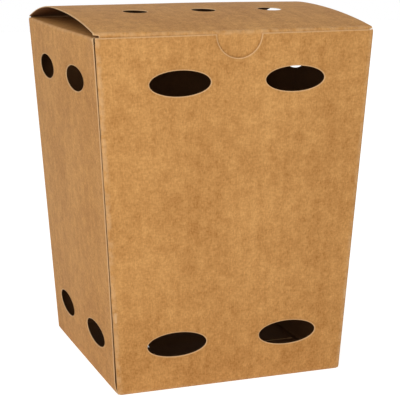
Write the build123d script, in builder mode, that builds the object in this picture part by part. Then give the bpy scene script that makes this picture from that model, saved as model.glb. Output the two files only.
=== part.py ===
from build123d import *
from math import asin, atan, cos, degrees, hypot, sin, sqrt
import os

# A take-away carton of kraft board: a tapered, nearly square sleeve with elliptical vents, a
# folded lock bottom and two dust flaps, closed by an arched lid that tucks in behind the front.
# Millimetres, +Z up, front facing -Y, origin on the floor under the middle of the sleeve.

# Board and folds, as radii outside the fold
board = 0.6
upright_fold = 1.4
level_fold = 1.2

# Sleeve, over the outside of its folds. The side walls bow out by these shares of side_belly at
# these shares of the height above the foot's fold. Each bow's curve starts bow_sink inside its
# wall, and the bow is rooted bow_root further in.
height = 185.0
base_width = 126.0
base_depth = 125.0
mouth_width = 149.0
mouth_depth = 142.0
side_belly = 1.8
bow_sink = 0.1
bow_root = 3.0
belly_shares = ((0.0, 0.05), (0.14, 0.75), (0.5, 1.0), (1.0, 0.85))

# Vents in the four walls, placed up the slope of each wall
vent_length = 32.4
vent_height = 13.1
front_vent_pitch = 62.0
side_vent_pitch = 59.0
low_vent_rise = 24.7
high_vent_rise = 161.5

# Thumb notch in the front wall
notch_radius = 12.1

# Glued seam at the front left corner
seam_setback = 1.5
seam_gap_top = 0.5
seam_gap_base = 1.2
glue_flap_width = 18.0
glue_flap_end_gap = 5.0
glue_flap_slant = 6.0

# Dust flaps, folded in from the side walls
dust_flap_reach = 42.0
dust_flap_front_gap = 5.0
dust_flap_back_gap = 2.4
dust_flap_front_slant = 4.0
dust_flap_back_slant = 16.0
dust_flap_corner = 8.0

# Lock bottom, from outside in: front panel with its tongue, two side panels, back panel
panel_end_gap = 1.5
panel_end_slant = 3.0
panel_root = 9.0
front_panel_reach = 68.0
back_panel_reach = 72.0
side_panel_reach = 36.0
side_panel_end_gap = 4.0
side_panel_front_slant = 6.0
side_panel_back_slant = 20.0
tongue_width = 48.0
tongue_length = 20.0
tongue_ramp = 6.0
tongue_corner = 8.0
slot_clearance = 1.5

# Lid, its arch given by the middle of the board
crease_gap = 0.4
crease_trim = 1.8
lid_side_gap = 0.5
crown_rise = 8.9
crown_setback = 13.0
front_fold_rise = 1.1
front_fold_radius = 1.5
tuck_clearance = 0.4
tuck_swing_clearance = 0.5
tuck_length = 16.0
tuck_side_gap = 2.2
tuck_side_slant = 2.3
tuck_corner = 11.0
lid_vent_diameter = 13.0
lid_vent_pitch = 38.0
lid_vent_count = 3
lid_vent_forward = 18.3


def half_width(z):
    """Half the sleeve's outside width at height z, at its upright folds."""
    return (base_width + (mouth_width - base_width) * z / height) / 2


def half_depth(z):
    """Half the sleeve's outside depth at height z."""
    return (base_depth + (mouth_depth - base_depth) * z / height) / 2


def side_edges(edges):
    """Of some level edges, the two long ones along the side walls."""
    beside = [edge for edge in edges if abs(edge.center().Y) < half_depth(height) / 2]
    return [edge for edge in beside if abs(edge.center().X) > half_width(height) / 2]


def panel_profile(plane, steps):
    """Section of a base panel: its underside runs through the (place, lift) steps."""
    upper = [(place, lift + board) for place, lift in reversed(steps)]
    with BuildSketch(plane) as profile:
        with BuildLine():
            Polyline(*steps, *upper, close=True)
        make_face()
    return profile.sketch


# The four walls' own planes: origin at the foot, local Y up the slope, local Z outwards
width_flare = half_width(height) - half_width(0)
depth_flare = half_depth(height) - half_depth(0)
front_wall = Plane((0, -half_depth(0), 0), x_dir=(1, 0, 0), z_dir=(0, -height, -depth_flare))
back_wall = Plane((0, half_depth(0), 0), x_dir=(-1, 0, 0), z_dir=(0, height, -depth_flare))
left_wall = Plane((-half_width(0), 0, 0), x_dir=(0, -1, 0), z_dir=(-height, 0, -width_flare))
right_wall = Plane((half_width(0), 0, 0), x_dir=(0, 1, 0), z_dir=(height, 0, -width_flare))
front_slope = hypot(height, depth_flare)
side_slope = hypot(height, width_flare)


def bow_section(z, share, inset):
    """Level section of the right side wall's bow, from inside the sleeve out to its curve."""
    x = half_width(z) - inset - bow_sink
    y = half_depth(z) - upright_fold
    bow = side_belly * share + bow_sink
    with BuildSketch(Plane.XY.offset(z)) as section:
        with BuildLine():
            ThreePointArc((x, -y), (x + bow, 0), (x, y))
            Polyline((x, y), (x - bow_root, y), (x - bow_root, -y), (x, -y))
        make_face()
    return section.sketch


def side_bow(inset):
    """What the right side wall bows out by, above the fold at its foot."""
    wall_height = height - level_fold
    return loft(
        sections=[
            bow_section(level_fold + wall_height * rise, share, inset)
            for rise, share in belly_shares
        ],
        mode=Mode.PRIVATE,
    )


def tapered_box(inset):
    """Solid sleeve with flat walls inset from outside, and round upright folds."""
    with BuildPart() as solid:
        Box(2 * mouth_width, 2 * mouth_depth, height, align=(Align.CENTER, Align.CENTER, Align.MIN))
        for wall in (front_wall, back_wall, left_wall, right_wall):
            split(bisect_by=wall.offset(-inset), keep=Keep.BOTTOM)
        fillet(solid.edges().group_by(Axis.Z)[1], radius=upright_fold - inset)
    return solid.part


def bowed(flat_sleeve, bow):
    """A flat-walled sleeve with the right wall's bow added, and its mirror image on the left."""
    with BuildPart() as solid:
        add(flat_sleeve)
        add(bow)
        add(mirror(bow, about=Plane.YZ, mode=Mode.PRIVATE))
    return solid.part


def top_arc(edges):
    """Of a bow's edges, the bowed one at its top."""
    return edges.group_by(Axis.Z)[-1].sort_by(Axis.X)[-1]


# Outside of the folded sleeve, rounded where the walls turn into the flaps
with BuildPart() as outer_bow:
    add(side_bow(0))
    fillet(top_arc(outer_bow.edges()), radius=level_fold)
with BuildPart() as outer_box:
    add(tapered_box(0))
    fillet(outer_box.edges().group_by(Axis.Z)[0], radius=level_fold)
    fillet(side_edges(outer_box.edges().group_by(Axis.Z)[-1]), radius=level_fold)
envelope = bowed(outer_box.part, outer_bow.part)

# Inside of the sleeve, up to the underside of the dust flaps, its level folds pressed flat
flap_underside = Plane.XY.offset(height - board)
pressed_fold = (level_fold - board) / 2
with BuildPart() as inner_bow:
    add(side_bow(board))
    split(bisect_by=flap_underside, keep=Keep.BOTTOM)
    chamfer(top_arc(inner_bow.edges()), length=pressed_fold)
with BuildPart() as inner_box:
    add(tapered_box(board))
    split(bisect_by=flap_underside, keep=Keep.BOTTOM)
    chamfer(side_edges(inner_box.edges().group_by(Axis.Z)[-1]), length=pressed_fold)
hollow = bowed(inner_box.part, inner_bow.part)

# Second layer of board inside the left wall, where the front wall's glue flap lies
with BuildPart() as glue_flap:
    add(bowed(tapered_box(board), side_bow(board)))
    add(bowed(tapered_box(2 * board), side_bow(2 * board)), mode=Mode.SUBTRACT)
    flap_low = glue_flap_end_gap
    flap_high = side_slope - glue_flap_end_gap
    with BuildSketch(left_wall.offset(side_belly)):
        with BuildLine():
            Polyline(
                (half_depth(height), flap_low),
                (half_depth(0), flap_low),
                (half_depth(0) - glue_flap_width, flap_low + glue_flap_slant),
                (half_depth(height) - glue_flap_width, flap_high - glue_flap_slant),
                (half_depth(height), flap_high),
                close=True,
            )
        make_face()
    extrude(amount=-side_belly - 2 * board, mode=Mode.INTERSECT)

# Outermost panel of the lock bottom, from the front wall, its tongue rising through the slot
front_panel_edge = front_panel_reach - half_depth(0)
tongue_end = front_panel_edge + tongue_length
with BuildPart() as front_panel:
    root = half_width(0) - panel_end_gap
    with BuildSketch():
        with BuildLine():
            Polyline(
                (-root, -half_depth(0)),
                (root, -half_depth(0)),
                (root - panel_end_slant, front_panel_edge),
                (panel_end_slant - root, front_panel_edge),
                close=True,
            )
        make_face()
    extrude(amount=board)
with BuildPart() as tongue:
    tongue_steps = [
        (front_panel_edge - tongue_ramp, 0),
        (front_panel_edge, 0),
        (front_panel_edge + tongue_ramp, 3 * board),
        (tongue_end, 3 * board),
    ]
    extrude(panel_profile(Plane.YZ, tongue_steps), amount=tongue_width / 2, both=True)
    fillet(
        tongue.edges().filter_by(Axis.Z).group_by(Axis.Y)[-1], radius=tongue_corner
    )

# Side panels, one board further in, shaped like the dust flaps of a plain carton
with BuildPart() as side_panels:
    side_steps = [
        (half_width(0), 0),
        (half_width(0) - panel_root, board),
        (half_width(0) - side_panel_reach, board),
    ]
    extrude(panel_profile(Plane.XZ, side_steps), amount=half_depth(0), both=True)
    with BuildSketch():
        with BuildLine():
            Polyline(
                (half_width(0), side_panel_end_gap - half_depth(0)),
                (half_width(0), half_depth(0) - side_panel_end_gap),
                (half_width(0) - side_panel_reach, half_depth(0) - side_panel_back_slant),
                (half_width(0) - side_panel_reach, side_panel_front_slant - half_depth(0)),
                close=True,
            )
        make_face()
    extrude(amount=3 * board, mode=Mode.INTERSECT)
    mirror(about=Plane.YZ)

# Innermost panel, from the back wall, with the slot that the tongue comes through
back_panel_edge = half_depth(0) - back_panel_reach
slot_end = front_panel_edge + tongue_ramp
with BuildPart() as back_panel:
    back_steps = [
        (half_depth(0), 0),
        (half_depth(0) - panel_root, 2 * board),
        (back_panel_edge, 2 * board),
    ]
    extrude(panel_profile(Plane.YZ, back_steps), amount=half_width(0), both=True)
    with BuildSketch():
        with BuildLine():
            Polyline(
                (root, half_depth(0)),
                (-root, half_depth(0)),
                (panel_end_slant - root, back_panel_edge),
                (root - panel_end_slant, back_panel_edge),
                close=True,
            )
        make_face()
        with Locations((0, back_panel_edge)):
            Rectangle(
                tongue_width + 2 * slot_clearance,
                2 * (slot_end - back_panel_edge),
                mode=Mode.SUBTRACT,
            )
    extrude(amount=3 * board, mode=Mode.INTERSECT)

# The four base panels, trimmed to the rounded foot of the sleeve
with BuildPart() as base:
    add(front_panel.part)
    add(tongue.part)
    add(side_panels.part)
    add(back_panel.part)
    add(envelope, mode=Mode.INTERSECT)


def dust_flap_outline():
    """Plan of the right dust flap, run out past the fold that carries it."""
    fold = half_width(height) + 2 * side_belly
    tip = half_width(height) - dust_flap_reach
    front = dust_flap_front_gap - half_depth(height) + board
    back = half_depth(height) - board - dust_flap_back_gap
    with BuildSketch(Plane.XY.offset(height)) as outline:
        with BuildLine():
            Polyline(
                (fold, front),
                (half_width(height), front),
                (tip, front + dust_flap_front_slant),
                (tip, back - dust_flap_back_slant),
                (half_width(height), back),
                (fold, back),
                close=True,
            )
        make_face()
        fillet(outline.vertices().group_by(Axis.X)[0], radius=dust_flap_corner)
    return outline.sketch


def mouth_outline():
    """Plan of the inside of the walls at the mouth."""
    x = half_width(height) - board
    y = half_depth(height) - board
    bow = side_belly * belly_shares[-1][1]
    with BuildSketch() as outline:
        with BuildLine():
            Line((-x, -y), (x, -y))
            ThreePointArc((x, -y), (x + bow, 0), (x, y))
            Line((x, y), (-x, y))
            ThreePointArc((-x, y), (-x - bow, 0), (-x, -y))
        make_face()
        fillet(outline.vertices(), radius=upright_fold - board)
    return outline.sketch


def seam_section(z, gap):
    """Level section of the open seam, between the left wall's raw edge and the front fold."""
    near = seam_setback - half_depth(z)
    with BuildSketch(Plane.XY.offset(z)) as section:
        with Locations((board - half_width(z), near)):
            Rectangle(board + level_fold, gap, align=(Align.MAX, Align.MIN))
    return section.sketch


with BuildPart() as carton:
    add(envelope)
    add(hollow, mode=Mode.SUBTRACT)
    add(base.part)
    add(glue_flap.part)

    # Mouth, which leaves the dust flaps and the raw top edges of the front and back walls
    with BuildSketch(Plane.XY.offset(height)):
        add(mouth_outline())
        add(dust_flap_outline(), mode=Mode.SUBTRACT)
        add(mirror(dust_flap_outline(), about=Plane.YZ, mode=Mode.PRIVATE), mode=Mode.SUBTRACT)
    extrude(amount=level_fold, both=True, mode=Mode.SUBTRACT)

    # Back wall's top edge, kept clear of the lid's crease
    with BuildSketch(Plane.XY.offset(height - crease_gap)):
        with Locations((0, half_depth(height) - crease_trim)):
            Rectangle(2 * mouth_width, mouth_depth, align=(Align.CENTER, Align.MIN))
    extrude(amount=2 * crease_gap, mode=Mode.SUBTRACT)

    # Two rows of vents in each wall
    for wall, pitch in (
        (front_wall, front_vent_pitch),
        (back_wall, front_vent_pitch),
        (left_wall, side_vent_pitch),
        (right_wall, side_vent_pitch),
    ):
        with BuildSketch(wall):
            with Locations((0, (low_vent_rise + high_vent_rise) / 2)):
                with GridLocations(pitch, high_vent_rise - low_vent_rise, 2, 2):
                    Ellipse(vent_length / 2, vent_height / 2)
        extrude(amount=side_belly + 2 * board, both=True, mode=Mode.SUBTRACT)

    with BuildSketch(front_wall):
        with Locations((0, front_slope)):
            Circle(notch_radius)
    extrude(amount=2 * board, both=True, mode=Mode.SUBTRACT)

    # Seam, narrow at the mouth and wider at the foot
    loft(
        sections=[seam_section(0, seam_gap_base), seam_section(height, seam_gap_top)],
        ruled=True,
        mode=Mode.SUBTRACT,
    )

# The lid's arch: a tight curve up from the crease to the crown, a long one down to the front fold
hinge_y = half_depth(height) - board / 2
hinge_z = height + board / 2
back_run = hinge_y - crown_setback
back_slope = 2 * atan(crown_rise / back_run)
front_inside = half_depth(height) - board
fold_centre_y = front_fold_radius + board / 2 + tuck_clearance - front_inside
front_drop = crown_rise - front_fold_rise
level_run = crown_setback - fold_centre_y
front_run = level_run + front_fold_radius * sin(2 * atan(front_drop / level_run))
front_fall = 2 * atan(front_drop / front_run)
fold_centre_z = hinge_z + front_fold_rise - front_fold_radius * cos(front_fall)

# The tuck flap leans back, so that its tip clears the front wall's top edge as the lid swings
swing_radius = hinge_y + front_inside - tuck_swing_clearance - board / 2
tip_depth = hinge_z - fold_centre_z + tuck_length
tip_y = hinge_y - sqrt(swing_radius**2 - tip_depth**2)
tuck_lean = asin((tip_y - fold_centre_y + front_fold_radius) / tuck_length)

# Outline of the lid: full width down to the front fold, then the narrower, rounded tuck flap
with BuildPart() as lid_outline:
    shoulder = height + crease_gap
    tuck_root = half_width(height) - tuck_side_gap
    tuck_tip = tuck_root - tuck_side_slant
    tuck_end = hinge_z - tip_depth - board
    with BuildSketch(Plane.XZ) as tuck_shape:
        with BuildLine():
            Polyline(
                (-tuck_root, shoulder),
                (tuck_root, shoulder),
                (tuck_tip, tuck_end),
                (-tuck_tip, tuck_end),
                close=True,
            )
        make_face()
        fillet(tuck_shape.vertices().group_by(Axis.Y)[0], radius=tuck_corner)
    extrude(amount=mouth_depth, both=True)
    with Locations((0, 0, shoulder)):
        Box(
            mouth_width - 2 * lid_side_gap,
            2 * mouth_depth,
            2 * crown_rise,
            align=(Align.CENTER, Align.CENTER, Align.MIN),
        )

with BuildPart() as lid:
    # Section of the folded strip, with a round edge on the crease
    with BuildSketch(Plane.YZ):
        with BuildLine():
            back_arc = JernArc(
                (hinge_y, hinge_z),
                (-cos(back_slope), sin(back_slope)),
                back_run / sin(back_slope),
                degrees(back_slope),
            )
            front_arc = JernArc(
                back_arc @ 1, (-1, 0), front_run / sin(front_fall), degrees(front_fall)
            )
            fold = JernArc(
                front_arc @ 1,
                front_arc % 1,
                front_fold_radius,
                90 - degrees(front_fall) + degrees(tuck_lean),
            )
            PolarLine(fold @ 1, tuck_length, direction=fold % 1)
            offset(amount=board / 2, side=Side.BOTH)
        make_face()
    extrude(amount=mouth_width, both=True)
    add(lid_outline.part, mode=Mode.INTERSECT)

    with BuildSketch():
        with Locations((0, -lid_vent_forward)):
            with GridLocations(lid_vent_pitch, 0, lid_vent_count, 1):
                Circle(lid_vent_diameter / 2)
    extrude(amount=height + 2 * crown_rise, mode=Mode.SUBTRACT)

os.makedirs("parts", exist_ok=True)
carton.part.label = "carton"
export_step(carton.part, "parts/carton.step")
lid.part.label = "lid"
export_step(lid.part, "parts/lid.step")
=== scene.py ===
import logging
import math
from dataclasses import dataclass, field
from enum import Enum
from typing import NamedTuple, Sequence

import bpy
import numpy as np
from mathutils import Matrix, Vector, geometry


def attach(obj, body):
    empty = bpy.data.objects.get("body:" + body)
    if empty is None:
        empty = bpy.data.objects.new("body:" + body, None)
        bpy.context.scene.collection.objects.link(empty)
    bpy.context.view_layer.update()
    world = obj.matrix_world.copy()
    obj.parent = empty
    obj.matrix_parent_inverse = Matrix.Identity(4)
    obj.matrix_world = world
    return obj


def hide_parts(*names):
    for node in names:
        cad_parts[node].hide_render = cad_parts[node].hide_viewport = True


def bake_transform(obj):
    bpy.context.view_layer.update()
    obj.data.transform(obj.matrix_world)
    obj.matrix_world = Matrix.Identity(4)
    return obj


# A take-away carton folded from one sheet of kraft board. Sizes are millimetres and become
# metres in the meshes. +Z is up, and the front wall with its thumb notch faces -Y.
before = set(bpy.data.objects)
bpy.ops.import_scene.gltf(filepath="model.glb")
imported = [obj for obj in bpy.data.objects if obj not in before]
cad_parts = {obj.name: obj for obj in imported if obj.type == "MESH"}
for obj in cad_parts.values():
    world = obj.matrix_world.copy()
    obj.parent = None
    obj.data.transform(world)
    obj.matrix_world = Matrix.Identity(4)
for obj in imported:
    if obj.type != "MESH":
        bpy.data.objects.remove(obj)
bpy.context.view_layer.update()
log = logging.getLogger("carton")

MM = 0.001
HALF_PI = math.pi / 2

# What counts as nothing: in a length, in an area or a rise, and as a share of a line.
ROUND_OFF = 1e-9
NOTHING = 1e-6
NO_SHARE = 1e-3

# Points that a place on a curve is looked up among.
LOOKUP_STEPS = 400

# The corners of a square, taken the other way round.
OTHER_WAY = (0, 3, 2, 1)

# Seeds of the board's slight waves.
CARTON_WAVES = 4.0
LID_WAVES = 9.0
CREASE_WAVES = 2.0

WHITE = (1.0, 1.0, 1.0, 1.0)

Point = tuple[float, float]


class Side(Enum):
    """A wall of the sleeve, by the way it faces, in order round the carton."""

    FRONT = (0, -1)
    RIGHT = (1, 0)
    BACK = (0, 1)
    LEFT = (-1, 0)

    @property
    def next(self) -> "Side":
        """The wall to the right of this one, seen from outside."""
        return Side((-self.value[1], self.value[0]))

    @property
    def bowed(self) -> bool:
        """Whether the wall bows out. The two side walls do."""
        return self.value[0] != 0


class Bend(NamedTuple):
    """One stretch of a folded section: its length, and how far it turns, in radians."""

    length: float
    turn: float = 0.0


class Section:
    """The line that bent board follows, seen along its folds: straight runs and arcs."""

    def __init__(self, start: Point, heading: float, bends: Sequence[Bend]) -> None:
        """Lay the stretches end to end.

        Args:
            start: where the line starts, across and up.
            heading: its first direction, in radians above the across axis.
            bends: the stretches in order.
        """
        self.starts: list[tuple[float, float, float, float, Bend]] = []
        across, up, walked = start[0], start[1], 0.0
        for bend in bends:
            self.starts.append((walked, across, up, heading, bend))
            right, rise = self._step(heading, bend, np.array([bend.length]))
            across, up = across + float(right[0]), up + float(rise[0])
            heading, walked = heading + bend.turn, walked + bend.length
        self.length = walked

    @staticmethod
    def _step(heading: float, bend: Bend, along: np.ndarray) -> tuple[np.ndarray, np.ndarray]:
        """Return the moves across and up after walking along a stretch."""
        if not bend.turn:
            return along * math.cos(heading), along * math.sin(heading)
        radius = bend.length / bend.turn
        turned = heading + along / radius
        right = radius * (np.sin(turned) - math.sin(heading))
        return right, radius * (math.cos(heading) - np.cos(turned))

    def at(self, along: np.ndarray) -> tuple[np.ndarray, np.ndarray]:
        """Find points of the line.

        Args:
            along: distances from its start.

        Returns:
            The points' places across and up.
        """
        across, up = np.zeros_like(along), np.zeros_like(along)
        for walked, x, z, heading, bend in self.starts:
            here = along >= walked - ROUND_OFF
            right, rise = self._step(heading, bend, along[here] - walked)
            across[here], up[here] = x + right, z + rise
        return across, up


def spaced(low: float, high: float, step: float) -> np.ndarray:
    """Return even values from low to high, at most a step apart."""
    return np.linspace(low, high, max(2, math.ceil(abs(high - low) / step) + 1))


def smooth(low: float, high: float, value: np.ndarray) -> np.ndarray:
    """Return 0 below low, 1 above high and a smooth rise between them."""
    share = np.clip((value - low) / (high - low), 0, 1)
    return share * share * (3 - 2 * share)


def run(corners: Sequence[Point], step: float, levels: Sequence[float]) -> list[Point]:
    """Divide straight lines through corners.

    Args:
        corners: the corners in order.
        step: the longest edge.
        levels: heights at which a line gets a point of its own.

    Returns:
        The points, without the last corner.
    """
    found: list[Point] = []
    for (x0, y0), (x1, y1) in zip(corners, corners[1:]):
        count = max(1, math.ceil(math.hypot(x1 - x0, y1 - y0) / step))
        shares = [k / count for k in range(count)]
        if abs(y1 - y0) > NOTHING:
            shares += [(level - y0) / (y1 - y0) for level in levels]
        last = -1.0
        for share in sorted(share for share in shares if 0 <= share < 1 - NO_SHARE):
            if share - last > NO_SHARE:
                found.append((x0 + (x1 - x0) * share, y0 + (y1 - y0) * share))
                last = share
    return found


def ellipse(centre: Point, half_x: float, half_y: float, count: int) -> list[Point]:
    """Return the points of a closed ellipse."""
    turns = [2 * math.pi * k / count for k in range(count)]
    return [(centre[0] + half_x * math.cos(t), centre[1] + half_y * math.sin(t)) for t in turns]


def rounded(corners: Sequence[Point], radius: float, steps: int = 12) -> list[Point]:
    """Round the inner corners of an open line.

    Args:
        corners: the line's corners. The first and the last stay as they are.
        radius: the radius of each round.
        steps: how many edges each round has.

    Returns:
        The line's points.
    """
    found = [corners[0]]
    for before, corner, after in zip(corners, corners[1:], corners[2:]):
        here = Vector(corner)
        back = (Vector(before) - here).normalized()
        on = (Vector(after) - here).normalized()
        half = back.angle(on) / 2
        centre = here + (back + on).normalized() * radius / math.sin(half)
        first = here + back * radius / math.tan(half) - centre
        last = here + on * radius / math.tan(half) - centre
        for step in range(steps + 1):
            spoke = first.lerp(last, step / steps).normalized() * radius
            found.append((centre.x + spoke.x, centre.y + spoke.y))
    return [*found, corners[-1]]


def inside(points: np.ndarray, loop: Sequence[Point]) -> np.ndarray:
    """Say which points lie inside a closed loop."""
    ring = np.array(loop)
    hits = np.zeros(len(points), int)
    for (x0, y0), (x1, y1) in zip(ring, np.roll(ring, -1, axis=0)):
        if y0 != y1:
            crosses = (points[:, 1] > y0) != (points[:, 1] > y1)
            hits += crosses & (points[:, 0] < x0 + (points[:, 1] - y0) * (x1 - x0) / (y1 - y0))
    return hits % 2 == 1


def reach(points: np.ndarray, loops: Sequence[Sequence[Point]]) -> np.ndarray:
    """Return how far each point is from the nearest edge of some closed loops."""
    found = np.full(len(points), np.inf)
    for loop in loops:
        ring = np.array(loop)
        for start, end in zip(ring, np.roll(ring, -1, axis=0)):
            edge = end - start
            share = np.clip((points - start) @ edge / max(edge @ edge, NOTHING**2), 0, 1)
            np.minimum(found, np.hypot(*(points - start - share[:, None] * edge).T), out=found)
    return found


def grid_faces(rows: int, columns: int) -> np.ndarray:
    """Return the four corners of each square of a grid of points, numbered row by row."""
    first = [r * columns + c for r in range(rows - 1) for c in range(columns - 1)]
    corner = np.array(first)
    return np.stack([corner, corner + 1, corner + columns + 1, corner + columns], 1)


@dataclass
class FlatSheet:
    """A stretch of flat board with its cut outline and holes, ready to be bent.

    The outline runs anticlockwise, and so do the holes. A second row of points lies rim_gap in
    from every cut, and none of it nearer to a cut than keep_in_gaps times that. The grid's points
    stay clearance away from a cut. Where the rows are closer they may come nearer, down to
    room_in_gaps times rim_gap.
    """

    outline: list[Point]
    holes: list[list[Point]]
    columns: np.ndarray
    rows: np.ndarray
    rim_gap: float = 0.4
    clearance: float = 1.1
    room_in_gaps: float = 1.5
    keep_in_gaps: float = 0.7

    def _rim_row(self, loop: Sequence[Point], inward: float) -> np.ndarray:
        """Return a second row of points just inside a cut edge."""
        ring = np.array(loop)
        along = np.roll(ring, -1, axis=0) - np.roll(ring, 1, axis=0)
        along /= np.maximum(np.hypot(*along.T), ROUND_OFF)[:, None]
        return ring + np.stack([-along[:, 1], along[:, 0]], 1) * self.rim_gap * inward

    def _within(self, points: np.ndarray) -> np.ndarray:
        """Say which points lie on the sheet."""
        kept = inside(points, self.outline)
        for hole in self.holes:
            kept &= ~inside(points, hole)
        return kept

    def mesh(self) -> tuple[np.ndarray, np.ndarray]:
        """Fill the sheet with triangles.

        Returns:
            The flat points, and the triangles as rows of three of their numbers.
        """
        loops = [self.outline, *self.holes]
        rim = np.array([p for loop in loops for p in loop])
        grid = np.array([(x, y) for y in self.rows for x in self.columns])
        grid = grid[self._within(grid)]
        row_gap = np.interp(grid[:, 1], self.rows[1:], np.diff(self.rows))
        least_room = self.room_in_gaps * self.rim_gap
        room = np.minimum(self.clearance, np.maximum(least_room, row_gap))
        grid = grid[reach(grid, loops) > room]
        second = np.vstack([self._rim_row(loop, -1 if k else 1) for k, loop in enumerate(loops)])
        second = second[self._within(second)]
        second = second[reach(second, loops) > self.keep_in_gaps * self.rim_gap]
        edges, first = [], 0
        for loop in loops:
            edges += [(first + k, first + (k + 1) % len(loop)) for k in range(len(loop))]
            first += len(loop)
        points = [Vector(p) for p in np.vstack([rim, second, grid])]
        made = geometry.delaunay_2d_cdt(points, edges, [], 0, NOTHING)
        flat = np.array([tuple(p) for p in made[0]])
        faces = np.array(made[2])
        a, b, c = (flat[faces[:, k]] for k in range(3))
        first, second = b - a, c - a
        area = first[:, 0] * second[:, 1] - first[:, 1] * second[:, 0]
        return flat, faces[(area > NOTHING) & self._within((a + b + c) / 3)]


@dataclass
class Board:
    """The carton's board, and how tightly it folds, as radii outside the fold.

    A fold's wear and painted highlight spread fold_spread beside it. The board lies flat at a
    fold, and waves freely from calm_margin away.
    """

    thickness: float = 0.6
    upright_fold: float = 1.4
    level_fold: float = 1.2
    mesh_step: float = 2.4
    fold_step: float = 0.24
    fold_spread: float = 1.6
    calm_margin: float = 12.0

    @property
    def half(self) -> float:
        """Half the board's thickness."""
        return self.thickness / 2

    @property
    def level_radius(self) -> float:
        """Radius of a level fold at the middle of the board."""
        return self.level_fold - self.half

    def fold_wear(self, away: np.ndarray) -> np.ndarray:
        """How near a fold points are, from 0 to 1, by their distance from it."""
        return np.exp(-away / self.fold_spread)

    def waving(self, end: float, along: np.ndarray) -> np.ndarray:
        """How freely points between a fold at 0 and one at the end wave, from 0 to 1."""
        margin = self.calm_margin
        return smooth(0, margin, along) * (1 - smooth(end - margin, end, along))


@dataclass
class SheetMesh:
    """The middle of the board as one mesh, gathered from bent stretches.

    Points are welded where they agree to weld_decimals. They are moved by weld_offset first, so
    that round sizes don't fall between two values.
    """

    points: list[np.ndarray] = field(default_factory=list)
    faces: list[np.ndarray] = field(default_factory=list)
    flat: list[np.ndarray] = field(default_factory=list)
    marks: dict[str, list[np.ndarray]] = field(default_factory=dict)
    count: int = 0
    weld_decimals: int = 3
    weld_offset: float = 0.00013

    def add(
        self, points: np.ndarray, faces: np.ndarray, flat: np.ndarray, **marks: np.ndarray
    ) -> None:
        """Add one bent stretch.

        Args:
            points: its points.
            faces: its faces, as rows of point numbers.
            flat: where each point lies on the flat sheet.
            marks: one value a point for each named attribute.
        """
        self.points.append(points)
        self.faces.append(faces + self.count)
        self.flat.append(np.column_stack([flat, np.zeros(len(flat))]))
        for name, values in marks.items():
            self.marks.setdefault(name, []).append(np.broadcast_to(values, len(points)))
        self.count += len(points)

    def build(self, name: str) -> bpy.types.Object:
        """Weld the stretches into one object.

        Args:
            name: the object's name.

        Returns:
            The object, linked to the scene.
        """
        points = np.vstack(self.points)
        near = np.round(points + self.weld_offset, self.weld_decimals)
        _, first, same = np.unique(near, axis=0, return_index=True, return_inverse=True)
        welded = [same.ravel()[block].tolist() for block in self.faces]
        faces = [face for block in welded for face in block if len(set(face)) == len(face)]
        mesh = bpy.data.meshes.new(name)
        mesh.from_pydata((points[first] * MM).tolist(), [], faces)
        for mark, blocks in self.marks.items():
            layer = mesh.attributes.new(mark, "FLOAT", "POINT")
            layer.data.foreach_set("value", np.concatenate(blocks)[first].astype(np.float32))
        layer = mesh.attributes.new("sheet", "FLOAT_VECTOR", "POINT")
        layer.data.foreach_set("vector", (np.vstack(self.flat)[first] * MM).astype("f").ravel())
        mesh.validate()
        made = bpy.data.objects.new(name, mesh)
        bpy.context.scene.collection.objects.link(made)
        return made


class Nodes:
    """Adds, sets and links the nodes of one tree."""

    def __init__(self, tree: bpy.types.NodeTree) -> None:
        """Keep the tree."""
        self.tree = tree

    def add(self, kind: str, settings: dict | None = None, **inputs: object) -> bpy.types.Node:
        """Add a node.

        Args:
            kind: the node's Blender type.
            settings: properties of the node.
            inputs: its sockets by name, with underscores for spaces, or by number as i0, i1.
                A value is set, and an output socket is linked.

        Returns:
            The node.
        """
        node = self.tree.nodes.new(kind)
        for key, value in (settings or {}).items():
            setattr(node, key, value)
        for key, value in inputs.items():
            numbered = key[0] == "i" and key[1:].isdigit()
            socket = node.inputs[int(key[1:]) if numbered else key.replace("_", " ")]
            if isinstance(value, bpy.types.NodeSocket):
                self.tree.links.new(value, socket)
            else:
                socket.default_value = value
        return node

    def math(self, operation: str, a: object, b: object = 0.0) -> bpy.types.NodeSocket:
        """Return the result of a scalar operation."""
        return self.add("ShaderNodeMath", {"operation": operation}, i0=a, i1=b).outputs[0]

    def scale(self, vector: object, by: object) -> bpy.types.NodeSocket:
        """Return a vector times a number."""
        node = self.add("ShaderNodeVectorMath", {"operation": "SCALE"}, i0=vector, Scale=by)
        return node.outputs["Vector"]

    def ramp(self, value: object, low: object, high: object) -> bpy.types.NodeSocket:
        """Return 0 at low, 1 at high and a smooth rise between them."""
        settings = {"interpolation_type": "SMOOTHSTEP"}
        return self.add("ShaderNodeMapRange", settings, i0=value, i1=low, i2=high).outputs[0]

    def mix(self, factor: object, a: object, b: object) -> bpy.types.NodeSocket:
        """Return two colours mixed."""
        settings = {"data_type": "RGBA"}
        return self.add("ShaderNodeMix", settings, i0=factor, i6=a, i7=b).outputs[2]

    def attribute(self, name: str, output: str = "Fac") -> bpy.types.NodeSocket:
        """Return a named attribute in a shader tree."""
        return self.add("ShaderNodeAttribute", {"attribute_name": name}).outputs[output]

    def named(self, name: str, kind: str = "FLOAT") -> bpy.types.NodeSocket:
        """Return a named attribute in a Geometry Nodes tree."""
        settings = {"data_type": kind}
        return self.add("GeometryNodeInputNamedAttribute", settings, Name=name).outputs[0]

    def store(
        self, mesh: object, name: str, kind: str, domain: str, value: object
    ) -> bpy.types.NodeSocket:
        """Return a mesh with a value stored under a name."""
        settings = {"data_type": kind, "domain": domain}
        store = "GeometryNodeStoreNamedAttribute"
        return self.add(store, settings, i0=mesh, Name=name, Value=value).outputs[0]


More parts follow.
